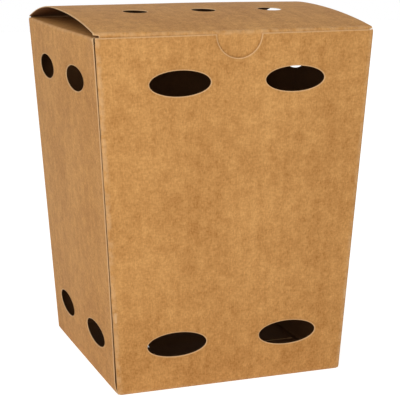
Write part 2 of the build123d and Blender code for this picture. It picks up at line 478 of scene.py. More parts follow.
def new_tree(name: str, kind: str, takes: dict[str, str], gives: dict[str, str]) -> Nodes:
    """Start a node group with named sockets.

    Args:
        name: the group's name.
        kind: GeometryNodeTree or ShaderNodeTree.
        takes: input names and their socket types, without the NodeSocket prefix.
        gives: output names and types.

    Returns:
        The helper that fills the tree.
    """
    tree = bpy.data.node_groups.new(name, kind)
    for in_out, sockets in (("INPUT", takes), ("OUTPUT", gives)):
        for title, socket in sockets.items():
            tree.interface.new_socket(title, in_out=in_out, socket_type="NodeSocket" + socket)
    return Nodes(tree)


BOARD_SOCKETS = {
    "Sheet": "Geometry",
    "Thickness": "Float",
    "Pressed Edge": "Float",
    "Relief": "Float",
    "Relief Size": "Float",
    "Seed": "Float",
    "Cut Reach": "Float",
    "Outside": "Material",
    "Inside": "Material",
    "Cut Edge": "Material",
}

# An edge with fewer faces than this is a raw edge of the sheet.
RAW_BELOW = 1.5
ON_A_CUT = 0.02 * MM
SAME_POINT = 0.004 * MM
SHARP_TURN = math.radians(40)
WAVE_DETAIL = 1.5

# Attributes that only the board's tree needs.
TREE_MARKS = ("board_normal", "inner_face", "cut_face", "relief", "pressed")


def board_tree() -> bpy.types.NodeTree:
    """Build the tree that turns the middle of a sheet into board with cut edges.

    Returns:
        The node group. It waves the sheet slightly, gives it its thickness both ways, a little
        less at its cut edges, closes those edges and sets the three finishes.
    """
    nodes = new_tree("board_from_sheet", "GeometryNodeTree", BOARD_SOCKETS, {"Board": "Geometry"})
    add, do = nodes.add, nodes.math
    takes = add("NodeGroupInput").outputs
    sheet = takes["Sheet"]
    raw = do("LESS_THAN", add("GeometryNodeInputMeshEdgeNeighbors").outputs[0], RAW_BELOW)
    split = {"domain": "EDGE"}
    rims = add("GeometryNodeSeparateGeometry", split, i0=sheet, Selection=raw).outputs[0]
    away = add("GeometryNodeProximity", {"target_element": "EDGES"}, i0=rims).outputs["Distance"]
    near = do("SUBTRACT", 1.0, nodes.ramp(away, 0.0, takes["Cut Reach"]))
    sheet = nodes.store(sheet, "near_cut", "FLOAT", "POINT", near)
    sheet = nodes.store(sheet, "pressed", "FLOAT", "POINT", do("LESS_THAN", away, ON_A_CUT))

    seed = takes["Seed"]
    shift = add("ShaderNodeCombineXYZ", X=seed, Y=seed, Z=seed).outputs[0]
    here = add("GeometryNodeInputPosition").outputs[0]
    place = add("ShaderNodeVectorMath", {"operation": "ADD"}, i0=here, i1=shift).outputs[0]
    size = do("DIVIDE", 1.0, takes["Relief Size"])
    waves = add("ShaderNodeTexNoise", Vector=place, Scale=size, Detail=WAVE_DETAIL).outputs[0]
    rise = do("MULTIPLY", do("SUBTRACT", waves, 0.5), takes["Relief"])
    rise = do("MULTIPLY", rise, do("SUBTRACT", 1.0, nodes.named("near_cut")))
    rise = do("MULTIPLY", rise, nodes.named("relief"))
    normal = add("GeometryNodeInputNormal").outputs[0]
    sheet = add("GeometryNodeSetPosition", i0=sheet, Offset=nodes.scale(normal, rise)).outputs[0]
    sheet = nodes.store(sheet, "board_normal", "FLOAT_VECTOR", "POINT", normal)

    out = nodes.named("board_normal", "FLOAT_VECTOR")
    pressed = do("MULTIPLY", nodes.named("pressed"), takes["Pressed Edge"])
    full = do("SUBTRACT", takes["Thickness"], pressed)
    half = do("MULTIPLY", full, 0.5)
    outer = add("GeometryNodeSetPosition", i0=sheet, Offset=nodes.scale(out, half)).outputs[0]
    back = nodes.scale(out, do("MULTIPLY", half, -1.0))
    inner = add("GeometryNodeSetPosition", i0=sheet, Offset=back).outputs[0]
    inner = add("GeometryNodeFlipFaces", i0=inner).outputs[0]
    inner = nodes.store(inner, "inner_face", "BOOLEAN", "FACE", True)

    edges = {"mode": "EDGES"}
    walls = add("GeometryNodeExtrudeMesh", edges, i0=outer, Selection=raw, Offset_Scale=0.0)
    side, top = walls.outputs["Side"], walls.outputs["Top"]
    cut = nodes.store(walls.outputs["Mesh"], "cut_face", "BOOLEAN", "FACE", side)
    down = nodes.scale(out, do("MULTIPLY", full, -1.0))
    cut = add("GeometryNodeSetPosition", i0=cut, Selection=top, Offset=down).outputs[0]

    join = add("GeometryNodeJoinGeometry")
    nodes.tree.links.new(cut, join.inputs[0])
    nodes.tree.links.new(inner, join.inputs[0])
    board = add("GeometryNodeMergeByDistance", i0=join.outputs[0], Distance=SAME_POINT).outputs[0]
    board = add("GeometryNodeSetShadeSmooth", i0=board, Shade_Smooth=True).outputs[0]
    bent = do("GREATER_THAN", add("GeometryNodeInputMeshEdgeAngle").outputs[0], SHARP_TURN)
    board = nodes.store(board, "sharp_edge", "BOOLEAN", "EDGE", bent)
    board = add("GeometryNodeRealizeInstances", i0=board).outputs[0]
    board = add("GeometryNodeSetMaterial", i0=board, Material=takes["Outside"]).outputs[0]
    for mark, finish in (("inner_face", "Inside"), ("cut_face", "Cut Edge")):
        dressed = {"Selection": nodes.named(mark, "BOOLEAN"), "Material": takes[finish]}
        board = add("GeometryNodeSetMaterial", i0=board, **dressed).outputs[0]
    add("NodeGroupOutput", Board=board)
    return nodes.tree


def apply_tree(
    obj: bpy.types.Object, tree: bpy.types.NodeTree, values: dict[str, object]
) -> bpy.types.Object:
    """Run a Geometry Nodes tree on an object and keep the result as a plain mesh.

    Args:
        obj: the object, which is used up.
        tree: the tree.
        values: its inputs by name.

    Returns:
        A new object with the result, linked to the scene.
    """
    name = obj.name
    modifier = obj.modifiers.new("shape", "NODES")
    modifier.node_group = tree
    for item in tree.interface.items_tree:
        if item.in_out == "INPUT" and item.name in values:
            modifier[item.identifier] = values[item.name]
    bpy.context.view_layer.update()
    graph = bpy.context.evaluated_depsgraph_get()
    mesh = bpy.data.meshes.new_from_object(obj.evaluated_get(graph), depsgraph=graph)
    obj.modifiers.remove(modifier)
    bpy.data.objects.remove(obj)
    mesh.name = name
    made = bpy.data.objects.new(name, mesh)
    bpy.context.scene.collection.objects.link(made)
    for mark in TREE_MARKS:
        layer = mesh.attributes.get(mark)
        if layer:
            mesh.attributes.remove(layer)
    return made


def linear(red: float, green: float, blue: float) -> tuple[float, float, float, float]:
    """Return a colour written as 0 to 255 display values, as a shader takes it."""
    shares = [value / 255 for value in (red, green, blue)]
    light = [s / 12.92 if s <= 0.04045 else ((s + 0.055) / 1.055) ** 2.4 for s in shares]
    return (*light, 1.0)


class Grain(NamedTuple):
    """One pattern in the board, as grains a metre across the sheet and up it.

    It is mixed in by its weight. Specks show where the pattern is above start, and show fully
    where it is above end.
    """

    across: float
    up: float
    detail: float
    seed: float
    weight: float = 1.0
    start: float = 0.0
    end: float = 1.0


CLOUDS = Grain(26, 22, 2, 3.1, weight=0.36)
PATCHES = Grain(190, 150, 3, 8.7, weight=0.50)
FIBRES = Grain(1300, 520, 2, 1.9, weight=0.56)
CROSS_FIBRES = Grain(620, 1150, 2, 6.4, weight=0.46)
STREAKS = Grain(330, 14, 2, 5.3)
DARK_SPECKS = Grain(1500, 900, 1, 4.6, weight=0.25, start=0.69, end=0.76)
PALE_SPECKS = Grain(1300, 420, 1, 9.2, weight=0.35, start=0.68, end=0.78)

FIBRE_SOCKETS = {
    "Light": "Color",
    "Dark": "Color",
    "Fleck": "Color",
    "Mottle": "Float",
    "Streaks": "Float",
}


def fibre_group() -> bpy.types.NodeTree:
    """Build the look of kraft fibre: clouds, streaks along the machine, fibres and flecks.

    Returns:
        The node group. It puts out a colour, and a height for the bump.
    """
    gives = {"Color": "Color", "Height": "Float"}
    nodes = new_tree("kraft_fibre", "ShaderNodeTree", FIBRE_SOCKETS, gives)
    add, do = nodes.add, nodes.math
    takes = add("NodeGroupInput").outputs
    sheet = nodes.attribute("sheet", "Vector")

    def noise(grain: Grain) -> bpy.types.NodeSocket:
        """Return a pattern's noise."""
        scale, seed = (grain.across, grain.up, 1), (grain.seed,) * 3
        here = add("ShaderNodeMapping", Vector=sheet, Scale=scale, Location=seed).outputs[0]
        return add("ShaderNodeTexNoise", Vector=here, Scale=1.0, Detail=grain.detail).outputs[0]

    def away(value: object, by: object) -> bpy.types.NodeSocket:
        """Return how far a value is from its middle, times a number."""
        return do("MULTIPLY", do("SUBTRACT", value, 0.5), by)

    def specks(grain: Grain, color: object, speck: object) -> bpy.types.NodeSocket:
        """Return a colour with specks of another."""
        spots = nodes.ramp(noise(grain), grain.start, grain.end)
        return nodes.mix(do("MULTIPLY", spots, grain.weight), color, speck)

    patches, fibres = noise(PATCHES), noise(FIBRES)
    total = do("ADD", 0.5, away(noise(CLOUDS), CLOUDS.weight))
    total = do("ADD", total, away(patches, PATCHES.weight))
    total = do("ADD", total, away(fibres, FIBRES.weight))
    total = do("ADD", total, away(noise(CROSS_FIBRES), CROSS_FIBRES.weight))
    total = do("ADD", total, away(noise(STREAKS), takes["Streaks"]))
    share = do("ADD", 0.5, away(total, takes["Mottle"]))
    color = nodes.mix(share, takes["Dark"], takes["Light"])
    color = specks(DARK_SPECKS, color, takes["Fleck"])
    color = specks(PALE_SPECKS, color, takes["Light"])
    height = do("ADD", do("MULTIPLY", fibres, 0.5), do("MULTIPLY", patches, 0.5))
    add("NodeGroupOutput", Color=color, Height=height)
    return nodes.tree


WEAR_AND_LIGHT_SOCKETS = {
    "Color": "Color",
    "Rubbed": "Color",
    "Shade": "Color",
    "Fold Wear": "Float",
    "Edge Shade": "Float",
    "Pale Lip": "Float",
}

# Patches a metre of the pale rub along folds, which is partly wear and partly a painted highlight,
# and where each mask starts and is full.
RUB_AND_HIGHLIGHT_PATCHES = 260.0
RUB_AND_HIGHLIGHT_DETAIL = 3.0
RUB_AND_HIGHLIGHT_NEAR_FOLD = (0.35, 0.95)
RUB_AND_HIGHLIGHT_WHERE = (0.32, 0.62)
LIP_NEAR_CUT = (0.82, 0.97)


def wear_and_painted_light_group() -> bpy.types.NodeTree:
    """Build the rubbing along folds with a painted highlight over it, the painted shade beside cut
    edges and the painted highlight on their lip.

    Returns:
        The node group. It puts out a colour.
    """
    nodes = new_tree("fold_wear", "ShaderNodeTree", WEAR_AND_LIGHT_SOCKETS, {"Color": "Color"})
    add, do = nodes.add, nodes.math
    takes = add("NodeGroupInput").outputs
    sheet, near = nodes.attribute("sheet", "Vector"), nodes.attribute("near_cut")
    broken = add("ShaderNodeTexNoise", Vector=sheet, Scale=RUB_AND_HIGHLIGHT_PATCHES, Detail=RUB_AND_HIGHLIGHT_DETAIL)
    # The pale rub along folds: partly wear, partly a painted highlight of the lit fold.
    at_fold = nodes.ramp(nodes.attribute("fold"), *RUB_AND_HIGHLIGHT_NEAR_FOLD)
    rubbed = do("MULTIPLY", at_fold, nodes.ramp(broken.outputs[0], *RUB_AND_HIGHLIGHT_WHERE))
    rubbed = do("MULTIPLY", rubbed, takes["Fold Wear"])
    color = nodes.mix(rubbed, takes["Color"], takes["Rubbed"])
    # Painted shade beside every cut edge, where the rims and the seam throw shadow.
    color = nodes.mix(do("MULTIPLY", near, takes["Edge Shade"]), color, takes["Shade"])
    # A painted highlight on the lip of every cut edge.
    lip = do("MULTIPLY", nodes.ramp(near, *LIP_NEAR_CUT), takes["Pale Lip"])
    color = nodes.mix(lip, color, takes["Rubbed"])
    add("NodeGroupOutput", Color=color)
    return nodes.tree


@dataclass(frozen=True)
class KraftFinish:
    """One face of the kraft board, as colours from 0 to 255 and the strength of its marks.

    The roughness grows by roughness_spread on the highest fibres, which stand bump_depth
    millimetres above the lowest. The pale rub along folds is partly a painted highlight, the lip
    at cut edges is a painted highlight and the shade beside them is painted shade.
    """

    name: str
    light: tuple[float, float, float]
    dark: tuple[float, float, float]
    fleck: tuple[float, float, float] = (126, 84, 44)
    # Pale rub colour along folds, partly wear and partly a painted highlight; also the painted
    # highlight on cut lips.
    rubbed: tuple[float, float, float] = (232, 190, 140)
    # Painted shade: the colour laid beside cut edges, where shade falls.
    shade: tuple[float, float, float] = (140, 92, 48)
    mottle: float = 1.0
    streaks: float = 0.22
    # Strengths of the rub with its painted highlight, of the painted shade beside cuts and of the
    # painted lip highlight.
    fold_wear: float = 0.35
    edge_shade: float = 0.12
    pale_lip: float = 0.6
    roughness: float = 0.62
    roughness_spread: float = 0.16
    specular: float = 0.2
    bump: float = 0.25
    bump_depth: float = 0.15

    def material(self, fibre: bpy.types.NodeTree, wear: bpy.types.NodeTree) -> bpy.types.Material:
        """Build the material.

        Args:
            fibre: the kraft fibre group.
            wear: the group of fold wear, painted highlights and painted shade.

        Returns:
            The material.
        """
        made = bpy.data.materials.new(self.name)
        made.use_nodes = True
        nodes = Nodes(made.node_tree)
        shader = made.node_tree.nodes["Principled BSDF"]
        look = nodes.add(
            "ShaderNodeGroup",
            {"node_tree": fibre},
            Light=linear(*self.light),
            Dark=linear(*self.dark),
            Fleck=linear(*self.fleck),
            Mottle=self.mottle,
            Streaks=self.streaks,
        )
        worn_and_lit = nodes.add(
            "ShaderNodeGroup",
            {"node_tree": wear},
            Color=look.outputs["Color"],
            Rubbed=linear(*self.rubbed),
            Shade=linear(*self.shade),
            Fold_Wear=self.fold_wear,
            Edge_Shade=self.edge_shade,
            Pale_Lip=self.pale_lip,
        )
        height = look.outputs["Height"]
        rough = nodes.math("MULTIPLY_ADD", height, self.roughness_spread)
        rough.node.inputs[2].default_value = self.roughness
        depth = self.bump_depth * MM
        bump = nodes.add("ShaderNodeBump", Strength=self.bump, Distance=depth, Height=height)
        links = made.node_tree.links
        links.new(worn_and_lit.outputs["Color"], shader.inputs["Base Color"])
        links.new(rough, shader.inputs["Roughness"])
        links.new(bump.outputs[0], shader.inputs["Normal"])
        shader.inputs["Specular IOR Level"].default_value = self.specular
        return made


OUTSIDE = KraftFinish("kraft_outside", light=(224, 167, 99), dark=(174, 117, 56), mottle=1.75)
# The inside face: the same kraft painted darker, as painted shade for the unlit inside of the
# carton.
SHADED_INSIDE = KraftFinish(
    "kraft_inside_shaded",
    light=(142, 98, 60),
    dark=(104, 68, 38),
    fold_wear=0.1,
    pale_lip=0.1,
    streaks=0.1,
    roughness=0.72,
)
# The raw cut edge is paler fibre. Its lip, at the default strength, adds a painted highlight.
CUT_EDGE = KraftFinish(
    "kraft_cut_edge",
    light=(236, 198, 150),
    dark=(204, 158, 108),
    fold_wear=0.0,
    edge_shade=0.0,
    mottle=1.5,
    roughness=0.8,
    bump=0.5,
)


@dataclass
class BoardPress:
    """Makes finished board from the middle of a sheet: one tree and three finishes for all.

    The board is thinner by pressed_edge at its cuts. Away from them it waves by a share of
    relief, in waves about relief_size long. What lies within cut_reach of a cut counts as near.
    """

    board: Board
    pressed_edge: float = 0.24
    relief: float = 0.16
    relief_size: float = 38.0
    cut_reach: float = 2.6

    def __post_init__(self) -> None:
        """Build the tree and the materials once."""
        fibre, wear = fibre_group(), wear_and_painted_light_group()
        self.tree = board_tree()
        self.finishes = {
            "Outside": OUTSIDE.material(fibre, wear),
            "Inside": SHADED_INSIDE.material(fibre, wear),
            "Cut Edge": CUT_EDGE.material(fibre, wear),
        }

    def press(self, sheet: SheetMesh, name: str, seed: float) -> bpy.types.Object:
        """Turn a gathered sheet into board.

        Args:
            sheet: the middle of the board.
            name: the finished piece's name.
            seed: which waves it gets.

        Returns:
            The finished piece.
        """
        sizes = {
            "Thickness": self.board.thickness * MM,
            "Pressed Edge": self.pressed_edge * MM,
            "Relief": self.relief * MM,
            "Relief Size": self.relief_size * MM,
            "Seed": seed,
            "Cut Reach": self.cut_reach * MM,
        }
        made = apply_tree(sheet.build(name), self.tree, {**sizes, **self.finishes})
        log.info("%s: %d faces", name, len(made.data.polygons))
        return made


@dataclass
class Sleeve:
    """Walls, glue flap, dust flaps and lock bottom, folded from one sheet."""

    board: Board

    # The walls: outside sizes at the foot and the mouth, plumb over the last plumb_top.
    height: float = 185.0
    base: Point = (126.0, 125.0)
    mouth: Point = (149.0, 142.0)
    plumb_top: float = 1.35
    crease_gap: float = 0.4
    foot_cut: float = 0.6
    corner_columns: int = 8

    # How far a side wall bows out, and the shares of it that the foot and the mouth lose.
    belly: float = 1.7
    bow_full: float = 1.02
    bow_foot_loss: float = 0.97
    bow_foot_fade: float = 0.11
    bow_mouth_loss: float = 0.17

    # Vents and thumb notch.
    vent: Point = (32.4, 13.1)
    vent_edges: int = 112
    front_pitch: float = 62.0
    side_pitch: float = 59.0
    low_vent: float = 24.7
    high_vent: float = 161.5
    notch_radius: float = 12.1
    notch_edges: int = 40

    # The seam: the left wall's raw edge over the glue flap.
    seam_setback: float = 1.5
    seam_gap_top: float = 0.5
    seam_gap_base: float = 1.2
    seam_lift_ends: float = 0.9
    seam_lift_middle: float = 0.45
    seam_lift_power: int = 3
    seam_lift_run: float = 14.0
    seam_lift_foot: float = 6.0
    seam_foot_room: float = 0.05
    glue_flap_width: float = 18.0
    glue_flap_end_gap: float = 2.2
    glue_flap_slant: float = 6.0
    glue_flap_step: float = 0.75
    glue_flap_ramp: float = 0.6
    glue_flap_columns: Point = (30.0, 66.0)
    glue_flap_root_columns: Point = (58.0, 70.0)
    glue_flap_root_step: float = 0.5

    # Dust flaps.
    flap_reach: float = 42.0
    flap_front_gap: float = 5.6
    flap_back_gap: float = 3.0
    flap_front_slant: float = 4.0
    flap_back_slant: float = 16.0
    flap_corner: float = 8.0
    flap_nick: float = 0.8
    flap_nick_rise: float = 0.3
    flap_root_drop: float = 0.1

    # Lock bottom. The tongue climbs over this many layers of board.
    panel_root: float = 9.0
    panel_slant: float = 3.1
    front_reach: float = 68.0
    back_reach: float = 72.0
    side_reach: float = 36.0
    side_end_gap: float = 4.0
    side_front_slant: float = 6.0
    side_back_slant: float = 20.0
    tongue_width: float = 48.0
    tongue_length: float = 20.0
    tongue_ramp: float = 6.0
    tongue_corner: float = 8.0
    tongue_layers: int = 3
    slot_clearance: float = 1.5

    def __post_init__(self) -> None:
        """Work out the rows that the folds need."""
        board = self.board
        self.quarter = board.level_radius * HALF_PI
        self.foot_fold = board.level_fold - self.quarter
        self.top_fold = self.height - board.level_fold
        self.flap_root = self.top_fold + self.quarter
        self.foot_rows = spaced(self.foot_fold, board.level_fold, board.fold_step)
        self.top_rows = spaced(self.top_fold, self.flap_root, board.fold_step)
        self.levels = [*self.foot_rows, *self.top_rows]

    def half(self, side: Side, h: np.ndarray | float) -> np.ndarray | float:
        """Half the outside distance between a wall and the opposite one, at row h."""
        k = 0 if side.bowed else 1
        share = np.clip(h, self.board.level_fold, self.height - self.plumb_top) / self.height
        return (self.base[k] + (self.mouth[k] - self.base[k]) * share) / 2

    def edge(self, side: Side, h: np.ndarray | float) -> np.ndarray | float:
        """Half a wall's flat width between its upright folds, at row h."""
        return self.half(side.next, h) - self.board.upright_fold

    def bow(self, side: Side, u: np.ndarray, h: np.ndarray) -> np.ndarray:
        """How far a side wall bows out: little at the foot, most above the middle."""
        if not side.bowed:
            return np.zeros_like(u)
        z = np.clip(h / self.height, 0, 1)
        foot = self.bow_foot_loss * np.exp(-z / self.bow_foot_fade)
        share = self.bow_full - foot - self.bow_mouth_loss * z * z
        return self.belly * share * np.clip(1 - (u / self.edge(side, h)) ** 2, 0, 1)

    def seam_lift(self, u: np.ndarray, h: np.ndarray) -> np.ndarray:
        """How far the left wall's raw edge springs off the glue flap: most at its two ends."""
        near = smooth(-self.seam_lift_run, 0, u - self.edge(Side.LEFT, h))
        away = np.abs(2 * np.clip(h / self.height, 0, 1) - 1) ** self.seam_lift_power
        lift = self.seam_lift_middle + (self.seam_lift_ends - self.seam_lift_middle) * away
        return lift * near * smooth(0, self.seam_lift_foot, h)

    def flap_span(self, side: Side) -> Point:
        """Where the dust flap of a side wall starts and ends along the wall."""
        front = self.mouth[1] / 2 - self.flap_front_gap
        back = self.mouth[1] / 2 - self.flap_back_gap
        return (-front, back) if side is Side.RIGHT else (-back, front)

    def level_folds(
        self, side: Side, u: np.ndarray, h: np.ndarray
    ) -> tuple[np.ndarray, np.ndarray]:
        """Fold the foot in, and the dust flap of a side wall.

        Args:
            side: the wall.
            u: places along the wall.
            h: rows of the flat sheet.

        Returns:
            How far in from the wall's middle each point lies, and how high.
        """
        radius, board = self.board.level_radius, self.board
        low = board.level_fold - h
        turn = np.clip(low / radius, 0, HALF_PI)
        inset = radius * (1 - np.cos(turn)) + np.clip(low - self.quarter, 0, None)
        z = np.where(low > 0, board.level_fold - radius * np.sin(turn), h)
        if side.bowed:
            start, end = self.flap_span(side)
            edge = self.edge(side, h)
            share = smooth(-edge, start, u) * (1 - smooth(end, edge, u))
            high = h - self.top_fold
            turn = np.clip(high / radius, 0, HALF_PI)
            over = np.clip(high - self.quarter, 0, None)
            inset = inset + share * (radius * (1 - np.cos(turn)) + over)
            folded = self.top_fold + radius * np.sin(turn)
            z = np.where(high > 0, z + share * (folded - z), z)
        return inset, z + self.panel_lift(side, inset) * (h < 0)

    def panel_lift(self, side: Side, inset: np.ndarray) -> np.ndarray:
        """How high a base panel lies over the floor's own layer of board, at a place inwards."""
        thickness = self.board.thickness
        place = inset + self.board.half
        if side is Side.FRONT:
            ramp = (self.front_reach, self.front_reach + self.tongue_ramp)
            return np.interp(place, ramp, (0, self.tongue_layers * thickness))
        layers = 1 if side.bowed else 2
        return np.interp(place, (self.board.level_fold, self.panel_root), (0, layers * thickness))

    def place(
        self, side: Side, u: np.ndarray, h: np.ndarray, step_in: np.ndarray | float = 0.0
    ) -> np.ndarray:
        """Bend flat places into the carton.

        Args:
            side: the wall that they belong to.
            u: places along the wall, to the right seen from outside.
            h: rows of the flat sheet, equal to the height on the wall itself.
            step_in: how far further in the board lies, as the glue flap does. Below 0 it lies
                further out, as the seam's raw edge does.

        Returns:
            The points.
        """
        out, along = side.value, side.next.value
        inset, z = self.level_folds(side, u, h)
        reach_out = self.half(side, h) - self.board.half + self.bow(side, u, h) - inset - step_in
        x = out[0] * reach_out + along[0] * u
        return np.column_stack([x, out[1] * reach_out + along[1] * u, z])

    def rows(self, side: Side) -> np.ndarray:
        """Rows of the upright fold to the right of a wall, and of both walls' edges there."""
        top = self.height - (self.crease_gap if Side.BACK in (side, side.next) else 0)
        foot = [row for row in self.foot_rows if row > self.foot_cut]
        ends = (self.glue_flap_end_gap, self.height - self.glue_flap_end_gap)
        middle = spaced(*ends, self.board.mesh_step)
        low = spaced(self.board.level_fold, ends[0], self.board.mesh_step)[1:-1]
        high = spaced(ends[1], self.top_fold, self.board.mesh_step)[1:]
        return np.array([self.foot_cut, *foot, *low, *middle, *high, top])

    def flat_place(self, side: Side, u: np.ndarray, h: np.ndarray) -> np.ndarray:
        """Where points lie on the whole flat sheet, for patterns that run round the folds."""
        middle = {wall: self.edge(wall, self.height / 2) for wall in Side}
        fold = self.board.upright_fold * HALF_PI
        start = 0.0
        for wall in Side:
            if wall is side:
                break
            start += middle[wall] + fold + middle[wall.next]
        return np.column_stack([start + u * middle[side] / self.edge(side, h), h])

    def base_panel(self, side: Side) -> list[Point]:
        """Outline of the panel under a wall, from its left end to its right, below the foot."""
        below = self.foot_fold + self.board.level_fold
        left = -self.edge(side, 0)
        if side.bowed:
            half, tip = self.half(Side.FRONT, 0), below - self.side_reach
            root = half - self.side_end_gap
            corners = [
                (-root, self.foot_cut),
                (self.side_front_slant - half, tip),
                (half - self.side_back_slant, tip),
                (root, self.foot_cut),
            ]
            if side is Side.LEFT:
                corners = [(-x, y) for x, y in reversed(corners)]
            corners = [(left, self.foot_cut), *corners, (-left, self.foot_cut)]
        elif side is Side.FRONT:
            tip, end = below - self.front_reach, below - self.front_reach - self.tongue_length
            half = self.tongue_width / 2
            tongue = [(-half, tip), (-half, end), (half, end), (half, tip)]
            corners = [
                (left, self.foot_cut),
                (left + self.panel_slant, tip),
                *rounded(tongue, self.tongue_corner),
                (-left - self.panel_slant, tip),
                (-left, self.foot_cut),
            ]
        else:
            tip = below - self.back_reach
            slot_end = below - (2 * self.half(Side.BACK, 0) - self.front_reach - self.tongue_ramp)
            half = self.tongue_width / 2 + self.slot_clearance
            corners = [
                (left, self.foot_cut),
                (left + self.panel_slant, tip),
                (-half, tip),
                (-half, slot_end),
                (half, slot_end),
                (half, tip),
                (-left - self.panel_slant, tip),
                (-left, self.foot_cut),
            ]
        return run(corners, self.board.mesh_step, self.levels)

    def top_line(self, side: Side, right: Point, left: Point) -> list[Point]:
        """Outline over a wall, from its right end to its left: a raw edge, a notch or a flap."""
        step = self.board.mesh_step
        if side is Side.BACK:
            return run([right, left], step, ())
        if side is Side.FRONT:
            radius, edges = self.notch_radius, self.notch_edges
            turns = [-math.pi * k / edges for k in range(edges + 1)]
            notch = [(radius * math.cos(t), right[1] + radius * math.sin(t)) for t in turns]
            return run([right, *notch, left], step, ())
        start, end = self.flap_span(side)
        tip = self.flap_root + self.flap_reach - self.board.level_fold
        slants = (self.flap_front_slant, self.flap_back_slant)
        low, high = slants if side is Side.RIGHT else slants[::-1]
        root = self.height - self.flap_root_drop
        nick = self.top_fold + self.flap_nick_rise
        flap = [(end, root), (end - high, tip), (start + low, tip), (start, root)]
        line = [
            right,
            (end + self.flap_nick, nick),
            *rounded(flap, self.flap_corner),
            (start - self.flap_nick, nick),
            left,
        ]
        return run(line, step, self.top_rows)

    def wall_outline(self, side: Side) -> list[Point]:
        """Outline of a wall with what folds in below and above it."""
        foot = self.base_panel(side)
        if side is Side.LEFT:
            rows = self.rows(side)
            gap = np.interp(rows, (0, self.height), (self.seam_gap_base, self.seam_gap_top))
            right = list(zip(self.half(side.next, rows) - self.seam_setback - gap, rows))
            foot = [p for p in foot if p[0] < right[0][0] - self.seam_foot_room]
        else:
            right = [(self.edge(side, h), h) for h in self.rows(side)]
        before = {wall.next: wall for wall in Side}[side]
        left = [(-self.edge(side, h), h) for h in self.rows(before)]
        return [*foot, *right[:-1], *self.top_line(side, right[-1], left[-1]), *left[:0:-1]]

    def vents(self, side: Side) -> list[list[Point]]:
        """The four vents of a wall."""
        k = 0 if side.bowed else 1
        flare = (self.mouth[k] - self.base[k]) / 2
        tilt = self.height / math.hypot(self.height, flare)
        pitch = self.side_pitch if side.bowed else self.front_pitch
        half_x, half_y = self.vent[0] / 2, self.vent[1] / 2 * tilt
        return [
            ellipse((x, rise * tilt), half_x, half_y, self.vent_edges)
            for x in (-pitch / 2, pitch / 2)
            for rise in (self.low_vent, self.high_vent)
        ]

    def folds(self, side: Side, u: np.ndarray, h: np.ndarray) -> np.ndarray:
        """How near each point is to a fold, from 0 to 1."""
        away = np.minimum(self.edge(side, h) - np.abs(u), np.abs(h - self.board.level_fold / 2))
        if side.bowed:
            away = np.minimum(away, np.abs(h - self.top_fold - self.quarter / 2))
        return self.board.fold_wear(np.clip(away, 0, None))

    def add_wall(self, sheet: SheetMesh, side: Side) -> None:
        """Add a wall with its base panel and flap."""
        outline = self.wall_outline(side)
        lowest, highest = min(p[1] for p in outline), max(p[1] for p in outline)
        step = self.board.mesh_step
        beside = 2 * self.board.fold_step
        rows = np.concatenate(
            [
                spaced(lowest, self.foot_fold - beside, step),
                self.foot_rows,
                spaced(self.board.level_fold + beside, self.top_fold - beside, step),
                self.top_rows,
                spaced(self.flap_root + beside, max(highest, self.flap_root + 2 * beside), step),
            ]
        )
        widest = self.edge(side, self.height)
        columns = spaced(-widest, widest, step)
        flat, faces = FlatSheet(outline, self.vents(side), columns, rows).mesh()
        u, h = flat.T
        waving = self.board.waving(self.top_fold, h)
        lift = self.seam_lift(u, h) if side is Side.LEFT else 0.0
        sheet.add(
            self.place(side, u, h, -lift),
            faces,
            self.flat_place(side, u, h),
            fold=self.folds(side, u, h),
            relief=waving * smooth(0, self.board.calm_margin, self.edge(side, h) - np.abs(u)),
        )

    def add_corner(self, sheet: SheetMesh, side: Side) -> None:
        """Add the upright fold to the right of a wall."""
        rows = self.rows(side)
        turns = np.linspace(0, HALF_PI, self.corner_columns)
        h, turn = (grid.ravel() for grid in np.meshgrid(rows, turns, indexing="ij"))
        inset, z = self.level_folds(Side.FRONT, np.zeros_like(h), h)
        radius = self.board.upright_fold - self.board.half - inset
        centre = [self.half(wall, h) - self.board.upright_fold for wall in (side, side.next)]
        a, b = centre[0] + radius * np.cos(turn), centre[1] + radius * np.sin(turn)
        first, second = side.value, side.next.value
        points = np.column_stack([first[0] * a + second[0] * b, first[1] * a + second[1] * b, z])
        faces = grid_faces(len(rows), len(turns))
        flat = self.flat_place(side.next, -self.edge(side.next, h), h)
        flat[:, 0] -= self.board.upright_fold * (HALF_PI - turn)
        sheet.add(points, faces, flat, fold=np.ones(len(h)), relief=np.zeros(len(h)))

    def add_glue_flap(self, sheet: SheetMesh) -> None:
        """Add the flap that the front wall turns in behind the left wall."""
        low, high = self.glue_flap_end_gap, self.height - self.glue_flap_end_gap
        rows = self.rows(Side.LEFT)
        rows = rows[(rows >= low - 1e-6) & (rows <= high + 1e-6)]
        seam = [(self.edge(Side.LEFT, h), h) for h in rows]

        def inner(h: float) -> Point:
            """Return the flap's free edge at a row."""
            return self.half(Side.FRONT, h) - self.glue_flap_width, h

        slant = self.glue_flap_slant
        free = [seam[-1], inner(high - slant), inner(low + slant), seam[0]]
        outline = [*seam[:-1], *run(free, self.board.mesh_step, ())]
        wide = spaced(*self.glue_flap_columns, self.board.mesh_step)
        close = spaced(*self.glue_flap_root_columns, self.glue_flap_root_step)
        columns = np.unique([*wide, *close])
        inner_rows = spaced(low, high, self.board.mesh_step)
        flat, faces = FlatSheet(outline, [], columns, inner_rows).mesh()
        u, h = flat.T
        away = self.edge(Side.LEFT, h) - u
        step_in = self.glue_flap_step * smooth(0, self.glue_flap_ramp, away)
        points = self.place(Side.LEFT, u, h, step_in)
        spread = self.flat_place(Side.FRONT, -self.edge(Side.FRONT, h), h)
        spread[:, 0] -= away + self.board.upright_fold * HALF_PI
        wear = self.board.fold_wear(away)
        sheet.add(points, faces, spread, fold=wear, relief=np.zeros(len(u)))

